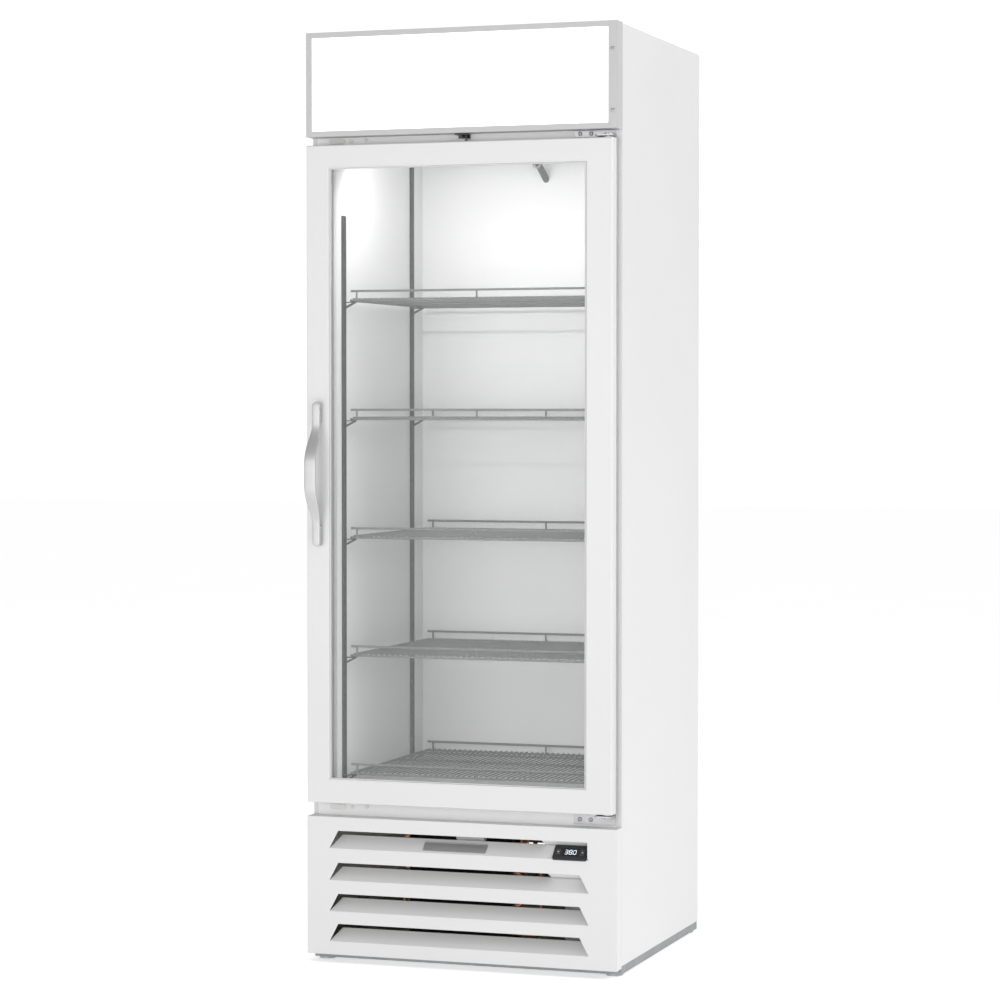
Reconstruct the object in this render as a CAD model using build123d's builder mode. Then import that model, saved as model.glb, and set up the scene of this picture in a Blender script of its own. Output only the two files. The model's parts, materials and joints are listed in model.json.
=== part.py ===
from build123d import *
import os
from math import cos, radians, sin

# Upright merchandiser with one hinged glass door, a lit sign box above it and a louvred
# grille over the condensing unit below. Millimetres. X runs across the front, Y runs from
# the door to the back, Z is up, and the origin is on the floor under the middle.

# ---- Driving dimensions
width = 692
depth = 699                    # handle to back panel
height = 1986
handle_reach = 55              # how far the handle stands out of the door
recess = 38                    # cabinet front behind the fronts of door, header and grille
sheet = 1.2                    # outer sheet metal

half = width / 2
face = -depth / 2 + handle_reach
cabinet_front = face + recess
rear = depth / 2
skin = half - sheet            # inside of the side panels

# Outer panels
panel_bottom, panel_top = 23, 1983.4
front_flange, rear_flange = 10.5, 15
shell_bottom = 330             # underside of the insulated box

# Insulated interior
liner_sheet = 1
liner_half = 300
liner_back = face + 590
liner_floor, liner_ceiling = 377, 1936
opening_top = 1715
lintel_back = face + 86

# Header
header_bottom = 1765
sign_left, sign_right = -332.6, 325.8
sign_bottom, sign_top = 1776.8, 1974
trim_screws = ((336, 1928), (336, 1801.5))

# Door
door_left, door_right = -half, 335.5
door_bottom, door_top = 343.4, 1747
door_thick = 30
sight_left, sight_right = -294.3, 278.5
sight_bottom, sight_top = 394.5, 1698.5
pocket = 13                    # glass hidden under the frame's lips
lip = 4
door_wall = 2
pane = 4
hinge_x, hinge_y = 322, face + 15
pin_radius, pin_clearance = 5, 0.05
handle_x, handle_z = -317, 1047
handle_bolts = (handle_z - 131, handle_z + 131)

# Shelves
shelf_pitch, lowest_shelf = 255.8, 402
shelf_half = 281
shelf_front, shelf_back = face + 94, face + 572
wire_radius, wire_pitch, wire_count = 1.6, 12.5, 45
rod_radius, side_rod_radius = 2.5, 2.8
rod_drop = 5.2                 # support rods' centres below the shelf surface
fence_rise = 15
pilaster_ys = (face + 94, face + 514)
pilaster_width, pilaster_deep = 16, 5
slot_pitch = shelf_pitch / 10

# Grille
grille_bottom, grille_top = 18, 313.8
louvre_angle = radians(46)
louvre_length = 38
louvre_folds = (46.4, 111, 177.7, 246.5)
louvre_left, louvre_right = -295.2, 285.3
louvre_slant = 20              # each side leans in over the louvre's height
controller_x = 243.5
controller_cut = controller_x + 39   # right end of the square cut round the controller
key_xs = {"key_left": controller_x - 26.5, "key_right": controller_x + 26.5}

# Machine compartment
rail_bottom, rail_top = 5, 44
tray_top = rail_top + sheet
condenser_fan_at = (-22, face + 172, 166)
evaporator_fan_at = (0, face + 150, 1845)


# ---- Helpers
def span(x0, x1, y0, y1, mode=Mode.ADD):
    """A rectangle between two corners of the current sketch plane."""
    with Locations(((x0 + x1) / 2, (y0 + y1) / 2)):
        Rectangle(abs(x1 - x0), abs(y1 - y0), mode=mode)


def block(x0, x1, y0, y1, z0, z1, mode=Mode.ADD):
    """A box between two corners of the machine's frame."""
    with Locations(((x0 + x1) / 2, (y0 + y1) / 2, (z0 + z1) / 2)):
        Box(abs(x1 - x0), abs(y1 - y0), abs(z1 - z0), mode=mode)


def bar(start, end, radius, mode=Mode.ADD):
    """A round bar from one point to another."""
    run = Vector(*end) - Vector(*start)
    with Locations(Plane(origin=start, z_dir=run)):
        Cylinder(radius, run.length, align=(Align.CENTER, Align.CENTER, Align.MIN), mode=mode)


def across(y):
    """The sketch plane across the machine at y, facing the front."""
    return Plane.XZ.offset(-y)


def save(piece, name):
    """Labels a finished piece and writes it to its own file."""
    piece.part.label = name
    export_step(piece.part, f"parts/{name}.step")


os.makedirs("parts", exist_ok=True)


# ---- Outer skin
for side, name in ((-1, "side_panel_left"), (1, "side_panel_right")):
    with BuildPart() as side_panel:
        with BuildSketch(Plane.XY.offset(panel_bottom)):
            span(side * skin, side * half, cabinet_front, rear)
            span(side * (half - front_flange), side * half, cabinet_front, cabinet_front + sheet)
            span(side * (half - rear_flange), side * half, rear - sheet, rear)
        extrude(amount=panel_top - panel_bottom)
    save(side_panel, name)

with BuildPart() as top_panel:
    block(-skin, skin, cabinet_front + sheet, rear - 2 * sheet, panel_top - sheet, panel_top)
save(top_panel, "top_panel")

with BuildPart() as back_panel:
    block(-skin, skin, rear - 2 * sheet, rear - sheet, shell_bottom, panel_top)
save(back_panel, "back_panel")

with BuildPart() as face_frame:
    with BuildSketch(across(cabinet_front)):
        frame_half = half - front_flange
        span(-frame_half, frame_half, shell_bottom - 20, panel_top)
        span(-liner_half - liner_sheet, liner_half + liner_sheet, liner_floor - liner_sheet,
             opening_top + liner_sheet, Mode.SUBTRACT)
    extrude(amount=-sheet)
save(face_frame, "face_frame")

# ---- Insulation and liner: one hollow seen from both sides
foam_front, foam_back = cabinet_front + sheet, rear - 2 * sheet


def cavity(grow, front, mode):
    """The cabinet's hollow, grown outwards by grow, with its mouth at front."""
    side = liner_half + grow
    block(-side, side, lintel_back - grow, liner_back + grow, liner_floor - grow,
          liner_ceiling + grow, mode)
    block(-side, side, front, lintel_back, liner_floor - grow, opening_top + grow, mode)


with BuildPart() as foam_insulation:
    block(-skin, skin, foam_front, foam_back, shell_bottom, panel_top - sheet)
    cavity(liner_sheet, foam_front, Mode.SUBTRACT)
save(foam_insulation, "foam_insulation")

with BuildPart() as liner:
    cavity(liner_sheet, cabinet_front, Mode.ADD)
    cavity(0, cabinet_front, Mode.SUBTRACT)
save(liner, "liner")

# ---- Base: channel rails with their tray, and levelling feet
foot_spots = [(x, y) for x in (-324, 324) for y in (cabinet_front + 24, rear - 26)]
foot_stem = 5

with BuildPart() as base_frame:
    with BuildSketch(Plane.XY.offset(rail_bottom)):
        span(-skin, skin, cabinet_front + 2, rear - 3)
    extrude(amount=rail_top - rail_bottom)
    inner = 2
    block(-skin + inner, skin - inner, cabinet_front + 2 + inner, rear - 3 - inner,
          rail_bottom + inner, rail_top - inner, Mode.SUBTRACT)
    block(-skin + 40, skin - 40, cabinet_front + 42, rear - 43, 0, rail_top + 1, Mode.SUBTRACT)
    with BuildSketch(Plane.XY.offset(rail_bottom)):
        with Locations(*foot_spots):
            Circle(foot_stem + 0.3)
    extrude(amount=inner, mode=Mode.SUBTRACT)
    block(-skin + 6, skin - 6, cabinet_front + 8, rear - 9, rail_top, tray_top)
save(base_frame, "base_frame")

with BuildPart() as levelling_feet:
    with BuildSketch():
        with Locations(*foot_spots):
            Circle(18)
    extrude(amount=rail_bottom)
    with BuildSketch(Plane.XY.offset(rail_bottom)):
        with Locations(*foot_spots):
            Circle(foot_stem)
    extrude(amount=30)
save(levelling_feet, "levelling_feet")

# ---- Header: folded box with lips, end trim, sign and light strips
trim_left = 326
with BuildPart() as header_box:
    with BuildSketch(across(face)):
        span(-half, trim_left, header_bottom, height)
        span(sign_left, trim_left, sign_bottom, sign_top, Mode.SUBTRACT)
    extrude(amount=-sheet)
    with BuildSketch(across(face + sheet)):
        span(-half, half - sheet, header_bottom, height)
        span(-half + sheet, half - sheet, header_bottom + sheet, height - sheet, Mode.SUBTRACT)
    extrude(amount=-(recess - 2 * sheet))
    block(-half, half - sheet, cabinet_front - sheet, cabinet_front, header_bottom, height)
save(header_box, "header_box")

with BuildPart() as header_end_trim:
    block(trim_left, half, face, face + sheet, header_bottom, height)
    block(half - sheet, half, face, cabinet_front, header_bottom, height)
    with BuildSketch(across(face)):
        with Locations(*trim_screws):
            Circle(2.2)
    extrude(amount=-sheet, mode=Mode.SUBTRACT)
save(header_end_trim, "header_end_trim")

with BuildPart() as sign_panel:
    block(-half + 3, 330, face + 2, face + 5, header_bottom + 3, height - 3)
save(sign_panel, "sign_panel")

with BuildPart() as header_light_strips:
    for z, up in ((header_bottom + sheet, 1), (height - sheet, -1)):
        block(-315, 315, face + 14, face + 28, z, z + up * 1.6)
        with Locations((0, face + 21, z + up * 2.2)):
            with GridLocations(40, 1, 15, 1):
                Box(5, 5, 1.6)
save(header_light_strips, "header_light_strips")

# ---- Door hinges on the cabinet
bracket = 3
leaf_gap = 3.5
top_leaf = door_top + leaf_gap
bottom_leaf = door_bottom - leaf_gap - bracket
bracket_screws = [(x, z) for x in (255, 279) for z in (top_leaf + 7.5, bottom_leaf - 9)]
for name, leaf, low, high in (("top_hinge_bracket", top_leaf, top_leaf, header_bottom - 1),
                              ("bottom_hinge_bracket", bottom_leaf, 318, bottom_leaf + bracket)):
    with BuildPart() as hinge_bracket:
        block(243, 334, cabinet_front - bracket, cabinet_front, low, high)
        block(296, 334, face + 3, cabinet_front - bracket, leaf, leaf + bracket)
        leaf_corners = hinge_bracket.edges().filter_by(Axis.Z).group_by(Axis.Y)[0]
        fillet(leaf_corners, 6)
        bar((hinge_x, hinge_y, leaf), (hinge_x, hinge_y, leaf + bracket),
            pin_radius + pin_clearance, Mode.SUBTRACT)
        with BuildSketch(across(cabinet_front - bracket)):
            with Locations(*bracket_screws):
                Circle(2.6)
        extrude(amount=-bracket, mode=Mode.SUBTRACT)
    save(hinge_bracket, name)

with BuildPart() as hinge_pins:
    for leaf, out in ((top_leaf + bracket, 1), (bottom_leaf, -1)):
        bar((hinge_x, hinge_y, leaf), (hinge_x, hinge_y, leaf + 3 * out), 8)
        bar((hinge_x, hinge_y, leaf), (hinge_x, hinge_y, leaf - 18 * out), pin_radius)
save(hinge_pins, "hinge_pins")

with BuildPart() as frame_screws:
    for x, z in trim_screws:
        bar((x, face - 2, z), (x, face, z), 4.5)
        bar((x, face - 1, z), (x, face + 12, z), 2)
    for x, z in bracket_screws:
        bar((x, cabinet_front - bracket - 3, z), (x, cabinet_front - bracket, z), 4.5)
        bar((x, cabinet_front - bracket - 1, z), (x, cabinet_front, z), 2.5)
save(frame_screws, "frame_screws")

with BuildPart() as hinge_hole_plugs:
    for z in (1757, 331):
        with BuildSketch(across(cabinet_front)):
            with Locations((-290, z)):
                SlotCenterToCenter(26, 11)
            with Locations((-258, z), (-224, z + 2)):
                Circle(4)
        extrude(amount=2)
save(hinge_hole_plugs, "hinge_hole_plugs")

# ---- Door lock: a barrel under a bracket, and the hooked cam it turns
lock_z = 1758.7
lock_body_end = face + 21
with BuildPart() as lock_barrel:
    block(-14, 12, face + 10, cabinet_front, lock_z + 3, header_bottom - 0.6)
    block(-14, 12, cabinet_front - 2, cabinet_front, door_top + 8.5, lock_z + 3)
    bar((0, face + 8, lock_z), (0, lock_body_end, lock_z), 4)
    bar((0, face + 7, lock_z), (0, face + 22, lock_z), 2.55, Mode.SUBTRACT)
save(lock_barrel, "lock_barrel")

with BuildPart() as lock_cam:
    bar((0, face + 7.4, lock_z), (0, face + 24, lock_z), 2.5)
    with BuildSketch(across(lock_body_end + 0.4)):
        with Locations((0, lock_z)):
            Circle(2.9)
        span(0, 9.5, lock_z - 2.2, lock_z + 2.2)
        span(6.5, 9.5, lock_z - 6.2, lock_z)
    extrude(amount=-2.6)
    block(-0.5, 0.5, face + 7.4, face + 9, lock_z - 1.8, lock_z + 1.8, Mode.SUBTRACT)
save(lock_cam, "lock_cam")

# ---- Pilasters, shelves and shelf clips
with BuildPart() as pilasters:
    for y, top in zip(pilaster_ys, (1602, 1752)):
        for side in (-1, 1):
            low, length = 384, top - 384
            wall_x = side * liner_half
            web_x = side * (liner_half - pilaster_deep)
            block(wall_x, web_x, y - pilaster_width / 2, y + pilaster_width / 2, low, top)
            block(wall_x, web_x + side * sheet, y - pilaster_width / 2 + sheet,
                  y + pilaster_width / 2 - sheet, low, top, Mode.SUBTRACT)
            slots = int(length / slot_pitch) - 1
            first_slot = lowest_shelf - 15
            with Locations(*[(web_x, y, first_slot + slot_pitch * step) for step in range(slots)]):
                Box(4, 4, 10, mode=Mode.SUBTRACT)
save(pilasters, "pilasters")

with BuildPart() as rack:
    with Locations(Plane.XZ.offset(-shelf_front)):
        with Locations((0, -wire_radius)):
            with GridLocations(wire_pitch, 1, wire_count, 1):
                Cylinder(wire_radius, shelf_back - shelf_front,
                         align=(Align.CENTER, Align.CENTER, Align.MAX))
    for y in (shelf_front, face + 234, face + 374, face + 514, shelf_back):
        bar((-shelf_half, y, -rod_drop), (shelf_half, y, -rod_drop), rod_radius)
    for x in (-shelf_half, shelf_half):
        bar((x, shelf_front, -rod_drop), (x, shelf_back, -rod_drop), side_rod_radius)
    for y in (shelf_front, shelf_back):
        for x in (-268, wire_pitch / 2, 268):
            bar((x, y, -rod_drop), (x, y, fence_rise), 2.1)
        bar((-shelf_half, y, fence_rise), (shelf_half, y, fence_rise), rod_radius)

shelf_heights = [lowest_shelf + shelf_pitch * level for level in range(5)]
for number, z in enumerate(reversed(shelf_heights), start=1):
    with BuildPart() as shelf:
        add(rack.part.moved(Location((0, 0, z))))
    save(shelf, f"shelf_{number}")

with BuildPart() as shelf_clips:
    seat = -rod_drop - side_rod_radius
    for z in shelf_heights:
        for y in pilaster_ys:
            for side in (-1, 1):
                clip_plane = Plane(origin=(0, y + 5, z + seat), x_dir=(side, 0, 0),
                                   z_dir=(0, -side, 0))
                with BuildSketch(clip_plane if side > 0 else clip_plane.offset(-10)):
                    span(270, liner_half - pilaster_deep, -2, 0)
                    with BuildLine():
                        Polyline((270, 0), (270, -2), (293, -14), (295, -14), (295, -11.5),
                                 (276, -2), (276, 0), close=True)
                    make_face()
                extrude(amount=10)
save(shelf_clips, "shelf_clips")

# ---- Interior light
with BuildPart() as light_bar:
    block(-270, 270, lintel_back, lintel_back + 22, opening_top + 6, opening_top + 28)
    lit_edge = light_bar.edges().filter_by(Axis.X).group_by(Axis.Z)[0].sort_by(Axis.Y)[-1]
    chamfer(lit_edge, 12)
save(light_bar, "light_bar")

# ---- Evaporator: folded cover with a fan ring, finned coil, fan and drain
cover_bottom, cover_top = 1757, liner_ceiling - 2
cover_front = face + 130
fan_x, fan_y, fan_z = evaporator_fan_at
evaporator_ring = 78
with BuildPart() as evaporator_cover:
    block(-290, 290, cover_front, liner_back - 45, cover_bottom, cover_top)
    block(-289, 289, cover_front + 1, liner_back, cover_bottom + 1, cover_top, Mode.SUBTRACT)
    bar((fan_x, cover_front - 1, fan_z), (fan_x, cover_front + 3, fan_z), evaporator_ring,
        Mode.SUBTRACT)
    block(-6, 6, cover_front - 3, cover_front, fan_z - 88, fan_z + 88)
    block(-84, 84, cover_front - 3, cover_front, fan_z - 6, fan_z + 6)
save(evaporator_cover, "evaporator_cover")


def finned_block(x0, x1, y0, y1, z0, z1, fin_pitch):
    """A stack of upright fins between two end plates, joined by four round cores."""
    fins = int((x1 - x0) / fin_pitch)
    block(x0, x0 + 1.5, y0, y1, z0, z1)
    block(x1 - 1.5, x1, y0, y1, z0, z1)
    with Locations(((x0 + x1) / 2, (y0 + y1) / 2, (z0 + z1) / 2)):
        with GridLocations(fin_pitch, 1, fins - 1, 1):
            Box(0.8, y1 - y0 - 2, z1 - z0 - 2)
    for z in (z0 + (z1 - z0) * (step + 0.5) / 4 for step in range(4)):
        bar((x0, (y0 + y1) / 2, z), (x1, (y0 + y1) / 2, z), 5)


with BuildPart() as evaporator_coil:
    finned_block(-235, 235, face + 290, face + 400, 1775, 1915, 9)
save(evaporator_coil, "evaporator_coil")

with BuildPart() as evaporator_fan_motor:
    bar((fan_x, fan_y + 24, fan_z), (fan_x, fan_y + 78, fan_z), 34)
    bar((fan_x, fan_y - 12, fan_z), (fan_x, fan_y + 30, fan_z), 2.95)
    block(-20, 20, fan_y + 30, fan_y + 70, cover_bottom + 1, fan_z)
save(evaporator_fan_motor, "evaporator_fan_motor")

with BuildPart() as drain_tube:
    bar((0, face + 490, cover_bottom + 6), (0, face + 600, cover_bottom - 52.7), 7.5)
    bar((0, face + 490, cover_bottom + 6), (0, face + 601, cover_bottom - 53.2), 6, Mode.SUBTRACT)
    block(-20, 20, face + 480, liner_back, cover_bottom, cover_bottom + 30, Mode.SUBTRACT)
    block(-20, 20, liner_back, face + 620, 1600, 1800, Mode.SUBTRACT)
save(drain_tube, "drain_tube")

# ---- Lower grille with four pressed louvres
inward = louvre_length * sin(louvre_angle)
rise = louvre_length * cos(louvre_angle)
root_lap = 3                   # how far a flap's root runs down into the sheet

with BuildPart() as flap:
    with BuildSketch(Plane.YZ.offset(louvre_left)):
        with BuildLine():
            tip_y, tip_z = face + inward, rise
            Polyline((face, 0), (tip_y, tip_z),
                     (tip_y + sheet * cos(louvre_angle), tip_z - sheet * sin(louvre_angle)),
                     (face + sheet, -0.6), (face + sheet, -root_lap), (face, -root_lap), close=True)
        make_face()
    extrude(amount=louvre_right - louvre_left)
    with BuildSketch(across(face - 5)):
        with BuildLine():
            Polyline((louvre_left, -root_lap), (louvre_right, -root_lap), (louvre_right, 0),
                     (louvre_right - louvre_slant, rise), (louvre_left + louvre_slant, rise),
                     (louvre_left, 0), close=True)
        make_face()
    extrude(amount=-50, mode=Mode.INTERSECT)

with BuildPart() as lower_grille:
    with BuildSketch(across(face)):
        span(-half, half, grille_bottom, grille_top)
        for fold in louvre_folds:
            with BuildLine():
                Polyline((louvre_left, fold), (louvre_right, fold),
                         (louvre_right - louvre_slant, fold + louvre_length),
                         (louvre_left + louvre_slant, fold + louvre_length), close=True)
            make_face(mode=Mode.SUBTRACT)
    extrude(amount=-sheet)
    # the top louvre's right end is cut square, so that the controller stands clear of it
    block(louvre_right - louvre_slant - 1, controller_cut, face, face + sheet,
          louvre_folds[3] + 1, louvre_folds[3] + louvre_length, Mode.SUBTRACT)
    for x in (-half, half - sheet):
        block(x, x + sheet, face, cabinet_front - 0.4, grille_bottom, grille_top)
    block(-half, half, face, cabinet_front - 0.4, grille_top - sheet, grille_top)
    for fold in louvre_folds:
        add(flap.part.moved(Location((0, 0, fold))))
    strip_ends = (louvre_right - louvre_slant, controller_cut)
    for fold, closed_from, closed_to in zip(louvre_folds[2:], (196, 182), strip_ends):
        # a strip that closes the gap over the flap, from the sheet down to the flap's tip
        strip_drop = rise - louvre_length - 1.1
        strip_tilt = Vector(inward - 0.2, strip_drop).get_angle(Vector(1, 0))
        with BuildSketch(Plane.YZ.offset(closed_from)):
            with Locations(Location((face + 0.5, fold + louvre_length + 0.8), -strip_tilt)):
                Rectangle(inward - 0.2, sheet, align=(Align.MIN, Align.CENTER))
        extrude(amount=closed_to - closed_from)
    top_flap = Plane(origin=(0, face, louvre_folds[3]), x_dir=(1, 0, 0),
                     z_dir=(0, -cos(louvre_angle), sin(louvre_angle)))
    with BuildSketch(top_flap.offset(1)):
        span(controller_x - 34, controller_x + 34, 2.5, 31)
    extrude(amount=-8, mode=Mode.SUBTRACT)
save(lower_grille, "lower_grille")

with BuildPart() as badge_plate:
    with BuildSketch(top_flap):
        with Locations((-13.5, 17)):
            RectangleRounded(141, 24, 3)
    extrude(amount=1.6)
save(badge_plate, "badge_plate")

# ---- Temperature controller in the top louvre, with two keys that press in
with BuildPart() as controller_body:
    with BuildSketch(top_flap):
        with Locations((controller_x, 16)):
            RectangleRounded(74, 36, 3)
    extrude(amount=5)
    with BuildSketch(top_flap):
        span(controller_x - 33.5, controller_x + 33.5, 3, 30.5)
    extrude(amount=-46)
    with BuildSketch(top_flap.offset(5)):
        span(controller_x - 18.5, controller_x + 18.5, 6, 27)
        for key_x in key_xs.values():
            span(key_x - 5, key_x + 5, 8, 24)
    extrude(amount=-3, mode=Mode.SUBTRACT)
save(controller_body, "controller_body")

with BuildPart() as controller_window:
    with BuildSketch(top_flap.offset(2)):
        span(controller_x - 18.3, controller_x + 18.3, 6.2, 26.8)
    extrude(amount=2.8)
save(controller_window, "controller_window")

for name, key_x in key_xs.items():
    with BuildPart() as key:
        with BuildSketch(top_flap.offset(2.8)):
            with Locations((key_x, 16)):
                RectangleRounded(9.4, 15.4, 1.5)
        extrude(amount=3)
    save(key, name)

# ---- Condensing unit
with BuildPart() as compressor:
    can_x, can_y = 205, face + 400
    with BuildSketch(Plane.XY.offset(tray_top + 16)):
        with Locations((can_x, can_y)):
            Ellipse(98, 76)
    extrude(amount=182)
    fillet(compressor.edges().filter_by(GeomType.ELLIPSE), 26)
    with BuildSketch(Plane.XY.offset(tray_top + 28)):
        with Locations((can_x, can_y)):
            Ellipse(86, 64)
    extrude(amount=158, mode=Mode.SUBTRACT)
    bar((can_x - 88, can_y, 130), (can_x - 108, can_y, 130), 5)
    bar((can_x - 80, can_y, 130), (can_x - 109, can_y, 130), 3.5, Mode.SUBTRACT)
    with BuildSketch(Plane.XY.offset(tray_top + 12)):
        with Locations((can_x, can_y)):
            RectangleRounded(210, 130, 16)
            with GridLocations(180, 100, 2, 2):
                Circle(7, mode=Mode.SUBTRACT)
    extrude(amount=4)
save(compressor, "compressor")

with BuildPart() as compressor_grommets:
    with BuildSketch(Plane.XY.offset(tray_top)):
        with Locations((can_x, can_y)):
            with GridLocations(180, 100, 2, 2):
                Circle(11)
    extrude(amount=12)
    with BuildSketch(Plane.XY.offset(tray_top + 12)):
        with Locations((can_x, can_y)):
            with GridLocations(180, 100, 2, 2):
                Circle(7)
    extrude(amount=8)
save(compressor_grommets, "compressor_grommets")

condenser = (-138, 95, face + 70, face + 126, 62, 272)
with BuildPart() as condenser_coil:
    finned_block(*condenser, 6)
    block(-138, -136.5, face + 70, face + 126, tray_top, 62)
    block(93.5, 95, face + 70, face + 126, tray_top, 62)
save(condenser_coil, "condenser_coil")


def pipe(points, bend, radius):
    """A copper pipe through the given points."""
    with BuildPart() as run:
        with BuildLine() as route:
            FilletPolyline(*points, radius=bend)
        with BuildSketch(Plane(origin=route.line @ 0, z_dir=route.line % 0)):
            Circle(radius)
        sweep()
    return run.part


with BuildPart() as copper_lines:
    for x, out in ((-138, -1), (95, 1)):
        for step in range(5):
            z = 76 + 42 * step + (14 if out > 0 else 0)
            for y in (face + 84, face + 112):
                add(pipe(((x, y, z), (x + 16 * out, y, z), (x + 16 * out, y, z + 26),
                          (x, y, z + 26)), 10, 4.2))
    add(pipe(((95, face + 98, 66), (150, face + 98, 66), (150, face + 98, 226),
              (190, face + 150, 226), (190, face + 318, 226), (190, face + 318, 150)), 14, 4))
    add(pipe(((118, can_y - 68, 120), (60, can_y - 68, 120), (60, can_y - 68, 250),
              (60, liner_back + 30, 250), (60, liner_back + 30, shell_bottom)), 16, 5))
    add(pipe(((95, face + 98, 258), (122, face + 98, 258), (122, face + 98, 290),
              (122, liner_back + 30, 290), (122, liner_back + 30, shell_bottom)), 14, 3))
    bar((122, face + 260, 290), (122, face + 360, 290), 10)
save(copper_lines, "copper_lines")

with BuildPart() as fan_shroud:
    block(-140, 96, face + 127, face + 128.5, tray_top, 284)
    fx, fy, fz = condenser_fan_at
    bar((fx, face + 127, fz), (fx, face + 168, fz), 106)
    bar((fx, face + 120, fz), (fx, face + 170, fz), 104.5, Mode.SUBTRACT)
save(fan_shroud, "fan_shroud")

with BuildPart() as condenser_fan_motor:
    bar((fx, fy + 18, fz), (fx, fy + 84, fz), 38)
    bar((fx, fy - 14, fz), (fx, fy + 20, fz), 3.95)
    block(fx - 16, fx + 16, fy + 24, fy + 76, tray_top, fz)
save(condenser_fan_motor, "condenser_fan_motor")


def fan(centre, tip, hub, hub_deep, blades, pitch, bore):
    """A fan that faces the front: blades round a hub with a bore for the motor shaft."""
    with BuildPart(across(centre[1])) as wheel:
        with Locations((centre[0], centre[2], 0)):
            with PolarLocations(0, blades):
                with Locations(Location(((hub + tip) / 2 - 1, 0, 0), (pitch, 0, 0))):
                    Box(tip - hub + 2, tip * 0.62, 1.6)
            Cylinder(tip, 80, mode=Mode.INTERSECT)
            Cylinder(hub, hub_deep)
            Cylinder(bore, hub_deep + 10, mode=Mode.SUBTRACT)
    return wheel


save(fan(condenser_fan_at, 100, 26, 24, 5, 27, 4), "condenser_fan")
save(fan(evaporator_fan_at, 72, 20, 20, 5, 27, 3), "evaporator_fan")

with BuildPart() as evaporating_pan:
    block(-300, -60, face + 330, face + 520, tray_top, tray_top + 45)
    block(-298, -62, face + 332, face + 518, tray_top + 2, tray_top + 45, Mode.SUBTRACT)
save(evaporating_pan, "evaporating_pan")

with BuildPart() as control_box:
    block(212, 322, face + 70, face + 150, tray_top, 150)
    block(213.5, 320.5, face + 71.5, face + 150, tray_top, 148.5, Mode.SUBTRACT)
save(control_box, "control_box")

with BuildPart() as rear_cover:
    block(-skin, skin, rear - 2 * sheet, rear - sheet, rail_top + 4, shell_bottom)
    with Locations((0, rear - 1.5 * sheet, 190)):
        with Locations(*[(x, 0, z) for x in (-210, -70, 70) for z in range(-90, 91, 20)]):
            Box(110, 4, 7, mode=Mode.SUBTRACT)
    bar((250, rear - 5, 120), (250, rear, 120), 13, Mode.SUBTRACT)
save(rear_cover, "rear_cover")

with BuildPart() as cord_gland:
    bar((250, rear - 10, 120), (250, rear, 120), 12.8)
    bar((250, rear - 6, 120), (250, rear - 2 * sheet, 120), 17)
    bar((250, rear - 12, 120), (250, rear + 2, 120), 5, Mode.SUBTRACT)
save(cord_gland, "cord_gland")

# ---- Door
pocket_box = (sight_left - pocket, sight_right + pocket, sight_bottom - pocket, sight_top + pocket)


def ring(outer, inner):
    """A rectangular ring between two boxes (x0, x1, z0, z1) in the current sketch."""
    span(*outer)
    span(*inner, Mode.SUBTRACT)


def grown(box, by):
    """A box (x0, x1, z0, z1) made larger by the same amount all round."""
    return box[0] - by, box[1] + by, box[2] - by, box[3] + by


door_box = (door_left, door_right, door_bottom, door_top)
sight_box = (sight_left, sight_right, sight_bottom, sight_top)
door_back = face + door_thick

with BuildPart() as door_frame:
    with BuildSketch(across(face)):
        ring(door_box, sight_box)
    extrude(amount=-door_thick)
    outer_edges = door_frame.edges().group_by(Axis.Y)[0].filter_by(
        lambda edge: edge.length > door_right - door_left - 1)
    fillet(outer_edges, 3)
    block(*pocket_box[:2], face + lip, door_back - lip, *pocket_box[2:], Mode.SUBTRACT)
    with BuildSketch(across(face + 2.2)):
        ring(grown(door_box, -door_wall), grown(pocket_box, door_wall))
    extrude(amount=-(door_thick - 4.4), mode=Mode.SUBTRACT)
    for z, out in ((door_top, 1), (door_bottom, -1)):
        bar((hinge_x, hinge_y, z - 3 * out), (hinge_x, hinge_y, z + 1 * out), 7, Mode.SUBTRACT)
    for z in handle_bolts:
        bar((handle_x, face - 1, z), (handle_x, face + 3, z), 2.7, Mode.SUBTRACT)
        bar((handle_x, door_back - 3, z), (handle_x, door_back + 1, z), 5, Mode.SUBTRACT)
save(door_frame, "door_frame")

pane_box = grown(pocket_box, -2)
for name, start in (("outer_glass", face + lip), ("inner_glass", door_back - lip - pane)):
    with BuildPart() as glass:
        with BuildSketch(across(start)):
            span(*pane_box)
        extrude(amount=-pane)
    save(glass, name)

with BuildPart() as glass_spacer:
    with BuildSketch(across(face + lip + pane)):
        ring(grown(pane_box, -2), grown(pane_box, -10))
    extrude(amount=-(door_thick - 2 * lip - 2 * pane))
save(glass_spacer, "glass_spacer")

gasket_outer = (-330, 320, 353, 1737)
gasket_deep = recess - door_thick - 0.3
with BuildPart() as door_gasket:
    with BuildSketch(across(door_back)):
        ring(gasket_outer, (-312, 304, 371, 1719))
    extrude(amount=-gasket_deep)
save(door_gasket, "door_gasket")

with BuildPart() as hinge_bushes:
    for z, out in ((door_top, 1), (door_bottom, -1)):
        bar((hinge_x, hinge_y, z - 12 * out), (hinge_x, hinge_y, z), 7)
        bar((hinge_x, hinge_y, z), (hinge_x, hinge_y, z + 1.5 * out), 10)
        bar((hinge_x, hinge_y, z - 13 * out), (hinge_x, hinge_y, z + 2 * out),
            pin_radius + pin_clearance, Mode.SUBTRACT)
save(hinge_bushes, "hinge_bushes")

with BuildPart() as closer_rod:
    bar((hinge_x, hinge_y, 360), (hinge_x, hinge_y, 960), 3.5)
    bar((hinge_x, hinge_y, 360), (hinge_x, hinge_y, 380), 6)
    block(301, 333, face + 4, face + 26, 950, 985)
save(closer_rod, "closer_rod")

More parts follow.
